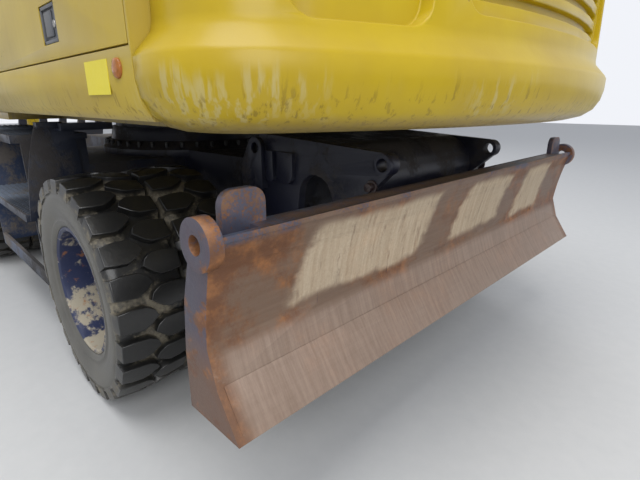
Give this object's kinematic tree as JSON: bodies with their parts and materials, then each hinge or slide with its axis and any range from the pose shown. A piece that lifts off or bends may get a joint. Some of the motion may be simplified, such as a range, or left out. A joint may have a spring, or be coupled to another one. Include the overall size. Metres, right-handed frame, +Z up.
{
  "type": "wheeled excavator",
  "caption": "Wheeled excavator with twin tyres, slewing house and cab, boom, arm and bucket, and a rear dozer blade on parallel arms.",
  "frame": {"origin": "on the floor under the middle of the machine at rest, 1425 mm ahead of the slewing axis", "axes": "+X to the front, where the working arm points, +Y to the left, where the cab is, +Z up"},
  "size_m": [8.0512, 2.57, 3.7211],
  "materials": {
    "chassis_paint": "dusty satin",
    "yellow_paint": "satin",
    "worn_blade": "rusty",
    "tyre_rubber": "dusty",
    "rim_paint": "worn",
    "bare_steel": "oily",
    "rod_chrome": "polished",
    "dark_paint": "satin",
    "cab_pane": "clear",
    "seat_cloth": "woven",
    "control_plastic": "matte",
    "amber_lens": "gloss"
  },
  "bodies": {
    "chassis": {"chassis_frame": "chassis_paint", "rear_axle": "chassis_paint", "front_axle": "chassis_paint", "drive_line": "dark_paint", "step_boxes": "chassis_paint", "head_lamps": "dark_paint"},
    "upper": {"upper_frame": "yellow_paint", "counterweight": "yellow_paint", "engine_block": "dark_paint", "house_shell": "yellow_paint", "tanks": "yellow_paint", "handrails": "dark_paint", "lamps": "amber_lens", "exhaust_stack": "dark_paint", "cab_shell": "yellow_paint", "cab_glass": "cab_pane", "seat": "seat_cloth", "cab_controls": "control_plastic"},
    "hood": {"hood": "yellow_paint"},
    "door_left": {"door_left": "yellow_paint"},
    "door_right": {"door_right": "yellow_paint"},
    "cab_door": {"cab_door": "yellow_paint", "door_glass": "cab_pane"},
    "blade": {"blade": "worn_blade"},
    "blade_lower_arms": {"blade_lower_arms": "chassis_paint"},
    "blade_upper_arms": {"blade_upper_arms": "chassis_paint"},
    "blade_barrels": {"blade_barrels": "chassis_paint"},
    "blade_rods": {"blade_rods": "rod_chrome"},
    "knuckle_left": {"knuckle_left": "chassis_paint"},
    "knuckle_right": {"knuckle_right": "chassis_paint"},
    "steering_rod": {"steering_rod": "bare_steel"},
    "boom": {"boom": "yellow_paint"},
    "boom_barrels": {"boom_barrels": "dark_paint"},
    "boom_rods": {"boom_rods": "rod_chrome"},
    "arm_barrel": {"arm_barrel": "dark_paint"},
    "arm_rod": {"arm_rod": "rod_chrome"},
    "arm": {"arm": "yellow_paint"},
    "bucket_barrel": {"bucket_barrel": "dark_paint"},
    "bucket_rod": {"bucket_rod": "rod_chrome"},
    "rocker": {"rocker_links": "yellow_paint"},
    "bucket_link": {"bucket_link": "yellow_paint"},
    "bucket": {"bucket": "dark_paint"},
    "wheel_rear_left": {"tyres_rear_left": "tyre_rubber", "wheels_rear_left": "rim_paint"},
    "wheel_rear_right": {"tyres_rear_right": "tyre_rubber", "wheels_rear_right": "rim_paint"},
    "wheel_front_left": {"tyres_front_left": "tyre_rubber", "wheels_front_left": "rim_paint"},
    "wheel_front_right": {"tyres_front_right": "tyre_rubber", "wheels_front_right": "rim_paint"}
  },
  "joints": [
    {"name": "slew", "type": "hinge", "parent": "chassis", "child": "upper", "pos_m": [-1.425, 0, 1.2], "axis": [0, 0, 1], "continuous": true},
    {"name": "wheel_rear_left_spin", "type": "hinge", "parent": "chassis", "child": "wheel_rear_left", "pos_m": [-2.525, 0, 0.5], "axis": [0, 1, 0], "continuous": true},
    {"name": "wheel_rear_right_spin", "type": "hinge", "parent": "chassis", "child": "wheel_rear_right", "pos_m": [-2.525, 0, 0.5], "axis": [0, 1, 0], "continuous": true},
    {"name": "steer_left", "type": "hinge", "parent": "chassis", "child": "knuckle_left", "pos_m": [0.075, 0.56, 0.5], "axis": [0, 0, 1], "range_deg": [-30, 30]},
    {"name": "steer_right", "type": "hinge", "parent": "chassis", "child": "knuckle_right", "pos_m": [0.075, -0.56, 0.5], "axis": [0, 0, 1], "range_deg": [-30, 30]},
    {"name": "steering_rod_slide", "type": "slide", "parent": "chassis", "child": "steering_rod", "axis": [0, 1, 0], "range_m": [-0.11, 0.11]},
    {"name": "wheel_front_left_spin", "type": "hinge", "parent": "knuckle_left", "child": "wheel_front_left", "pos_m": [0.075, 0, 0.5], "axis": [0, 1, 0], "continuous": true},
    {"name": "wheel_front_right_spin", "type": "hinge", "parent": "knuckle_right", "child": "wheel_front_right", "pos_m": [0.075, 0, 0.5], "axis": [0, 1, 0], "continuous": true},
    {"name": "blade_lift", "type": "hinge", "parent": "chassis", "child": "blade_lower_arms", "pos_m": [-3.005, 0, 0.47], "axis": [0, -1, 0], "range_deg": [0, 58]},
    {"name": "blade_level", "type": "hinge", "parent": "blade_lower_arms", "child": "blade", "pos_m": [-3.53477, 0, 0.75168], "axis": [0, -1, 0], "range_deg": [-58, 0]},
    {"name": "blade_upper_swing", "type": "hinge", "parent": "chassis", "child": "blade_upper_arms", "pos_m": [-3.005, 0, 0.62], "axis": [0, -1, 0], "range_deg": [0, 58]},
    {"name": "blade_barrel_swing", "type": "hinge", "parent": "chassis", "child": "blade_barrels", "pos_m": [-2.965, 0, 1.06], "axis": [0, -1, 0], "range_deg": [0, 30]},
    {"name": "blade_rod_slide", "type": "slide", "parent": "blade_barrels", "child": "blade_rods", "axis": [-0.7752, 0, -0.6317], "range_m": [0, 0.46]},
    {"name": "boom_lift", "type": "hinge", "parent": "upper", "child": "boom", "pos_m": [-1.175, 0, 1.8], "axis": [0, -1, 0], "range_deg": [-46.5, 43.5]},
    {"name": "boom_barrel_swing", "type": "hinge", "parent": "upper", "child": "boom_barrels", "pos_m": [-0.605, 0, 1.45], "axis": [0, -1, 0], "range_deg": [-60, 60]},
    {"name": "boom_rod_slide", "type": "slide", "parent": "boom_barrels", "child": "boom_rods", "axis": [0.6081, 0, 0.7939], "range_m": [-0.5, 0.5]},
    {"name": "arm_swing", "type": "hinge", "parent": "boom", "child": "arm", "pos_m": [3.6191, 0, 3.22008], "axis": [0, 1, 0], "range_deg": [-96, 16]},
    {"name": "arm_barrel_swing", "type": "hinge", "parent": "boom", "child": "arm_barrel", "pos_m": [0.88725, 0, 3.46425], "axis": [0, 1, 0], "range_deg": [-3, 3]},
    {"name": "arm_rod_slide", "type": "slide", "parent": "arm_barrel", "child": "arm_rod", "axis": [0.9985, 0, 0.0549], "range_m": [-0.8, 0.2]},
    {"name": "bucket_swing", "type": "hinge", "parent": "arm", "child": "bucket", "pos_m": [2.98499, 0, 0.85356], "axis": [0, -1, 0], "range_deg": [0, 126]},
    {"name": "rocker_swing", "type": "hinge", "parent": "arm", "child": "rocker", "pos_m": [3.0937, 0, 1.25925], "axis": [0, -1, 0], "range_deg": [0, 126]},
    {"name": "bucket_link_swing", "type": "hinge", "parent": "rocker", "child": "bucket_link", "pos_m": [3.17686, 0, 0.86799], "axis": [0, -1, 0], "range_deg": [-126, 0]},
    {"name": "bucket_barrel_swing", "type": "hinge", "parent": "arm", "child": "bucket_barrel", "pos_m": [3.91488, 0, 2.77848], "axis": [0, -1, 0], "range_deg": [-6, 6]},
    {"name": "bucket_rod_slide", "type": "slide", "parent": "bucket_barrel", "child": "bucket_rod", "axis": [-0.3603, 0, -0.9328], "range_m": [-0.8, 0.02]},
    {"name": "cab_door_swing", "type": "hinge", "parent": "upper", "child": "cab_door", "pos_m": [-0.925, 1.263, 2.1], "axis": [0, 0, 1], "range_deg": [0, 165]},
    {"name": "door_left_swing", "type": "hinge", "parent": "upper", "child": "door_left", "pos_m": [-1.84, 1.278, 1.73], "axis": [0, 0, -1], "range_deg": [0, 95]},
    {"name": "door_right_swing", "type": "hinge", "parent": "upper", "child": "door_right", "pos_m": [-1.84, -1.278, 1.73], "axis": [0, 0, 1], "range_deg": [0, 95]},
    {"name": "hood_lift", "type": "hinge", "parent": "upper", "child": "hood", "pos_m": [-1.743, 0, 2.216], "axis": [0, 1, 0], "range_deg": [0, 60]}
  ],
  "couplings": [
    {"joint": "steer_right", "follows": "steer_left", "ratio": 1},
    {"joint": "steering_rod_slide", "follows": "steer_left", "m_per_rad": -0.19576},
    {"joint": "blade_level", "follows": "blade_lift", "ratio": -1},
    {"joint": "blade_upper_swing", "follows": "blade_lift", "ratio": 1},
    {"joint": "blade_barrel_swing", "follows": "blade_lift", "ratio": 0.40371},
    {"joint": "blade_rod_slide", "follows": "blade_lift", "m_per_rad": 0.44882},
    {"joint": "boom_barrel_swing", "follows": "boom_lift", "ratio": 1.0832},
    {"joint": "boom_rod_slide", "follows": "boom_lift", "m_per_rad": 0.58413},
    {"joint": "arm_barrel_swing", "follows": "arm_swing", "ratio": -0.012},
    {"joint": "arm_rod_slide", "follows": "arm_swing", "m_per_rad": 0.44094},
    {"joint": "rocker_swing", "follows": "bucket_swing", "ratio": 1},
    {"joint": "bucket_link_swing", "follows": "bucket_swing", "ratio": -1},
    {"joint": "bucket_barrel_swing", "follows": "bucket_swing", "ratio": -0.02578},
    {"joint": "bucket_rod_slide", "follows": "bucket_swing", "m_per_rad": -0.3213}
  ]
}
